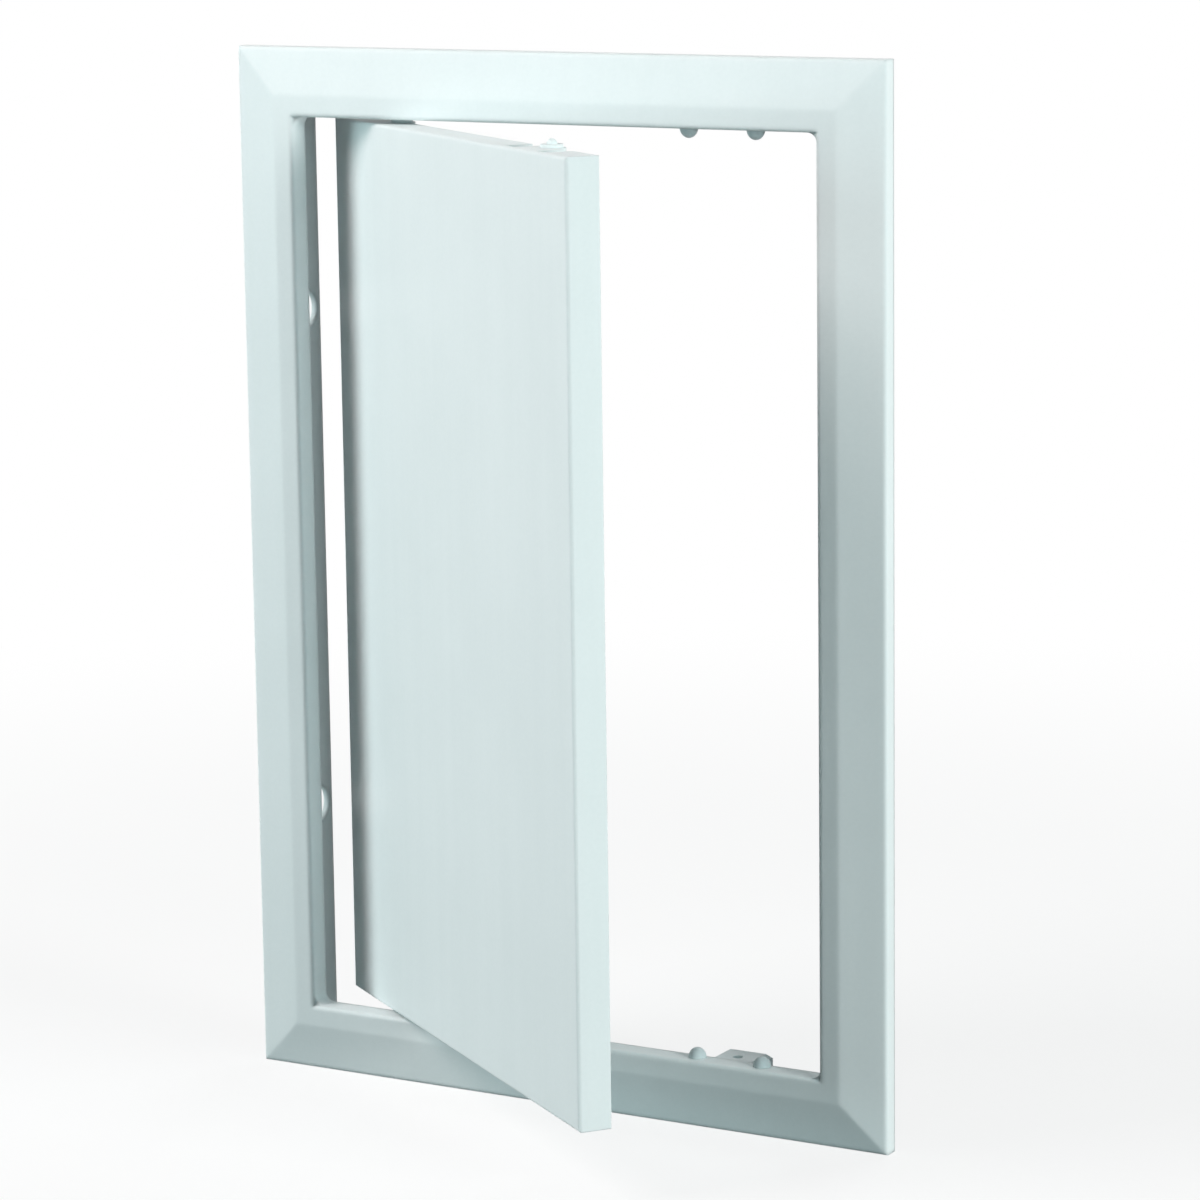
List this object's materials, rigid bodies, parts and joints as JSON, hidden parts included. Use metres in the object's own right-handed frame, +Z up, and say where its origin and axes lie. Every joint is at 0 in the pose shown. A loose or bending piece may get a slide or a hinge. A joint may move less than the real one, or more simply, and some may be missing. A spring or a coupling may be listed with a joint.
{
  "type": "ceiling access panel",
  "caption": "Moulded access panel: bevelled frame with collar and a tray-shaped leaf that turns on two sprung pins set in from its edge and is held shut by two catch pins.",
  "frame": {"origin": "middle of the opening on the wall plane, where the bezel's back rim bears on the wall or ceiling", "axes": "+X to the right, +Y into the wall or ceiling, +Z up along the frame's long side, as the panel is seen from the room"},
  "size_m": [0.218, 0.1098, 0.318],
  "materials": {
    "frame_plastic": "satin moulded plastic, white",
    "leaf_plastic": "smooth moulded plastic, white, low gloss",
    "clip_plastic": "moulded plastic, white",
    "stud_plastic": "moulded plastic, pale grey",
    "pin_plastic": "moulded plastic, off-white",
    "spring_wire": "drawn spring wire"
  },
  "bodies": {
    "frame": {"bezel_frame": "frame_plastic", "socket_clip_upper_left": "clip_plastic", "socket_clip_upper_right": "clip_plastic", "socket_clip_lower_left": "clip_plastic", "socket_clip_lower_right": "clip_plastic", "guide_studs_upper": "stud_plastic", "guide_studs_lower": "stud_plastic"},
    "leaf": {"door_leaf": "leaf_plastic", "pin_spring_upper_left": "spring_wire", "pin_spring_upper_right": "spring_wire", "pin_spring_lower_left": "spring_wire", "pin_spring_lower_right": "spring_wire", "barrel_plug_upper_left": "clip_plastic", "barrel_plug_upper_right": "clip_plastic", "barrel_plug_lower_left": "clip_plastic", "barrel_plug_lower_right": "clip_plastic"},
    "pivot_pin_upper": {"pivot_pin_upper_left": "pin_plastic"},
    "pivot_pin_lower": {"pivot_pin_lower_left": "pin_plastic"},
    "catch_pin_upper": {"catch_pin_upper_right": "pin_plastic"},
    "catch_pin_lower": {"catch_pin_lower_right": "pin_plastic"}
  },
  "joints": [
    {"name": "leaf_swing", "type": "hinge", "parent": "frame", "child": "leaf", "pos_m": [-0.05575, 0.00285, 0], "axis": [0, 0, -1], "range_deg": [-36, 104]},
    {"name": "pivot_pin_upper_press", "type": "slide", "parent": "leaf", "child": "pivot_pin_upper", "axis": [0, 0, -1], "range_m": [0, 0.0014], "stiffness_N_per_m": 300, "springref_m": -0.003, "deforming": ["pin_spring_upper_left"]},
    {"name": "pivot_pin_lower_press", "type": "slide", "parent": "leaf", "child": "pivot_pin_lower", "axis": [0, 0, 1], "range_m": [0, 0.0014], "stiffness_N_per_m": 300, "springref_m": -0.003, "deforming": ["pin_spring_lower_left"]},
    {"name": "catch_pin_upper_press", "type": "slide", "parent": "leaf", "child": "catch_pin_upper", "axis": [0, 0, -1], "range_m": [0, 0.0014], "stiffness_N_per_m": 300, "springref_m": -0.003, "deforming": ["pin_spring_upper_right"]},
    {"name": "catch_pin_lower_press", "type": "slide", "parent": "leaf", "child": "catch_pin_lower", "axis": [0, 0, 1], "range_m": [0, 0.0014], "stiffness_N_per_m": 300, "springref_m": -0.003, "deforming": ["pin_spring_lower_right"]}
  ]
}
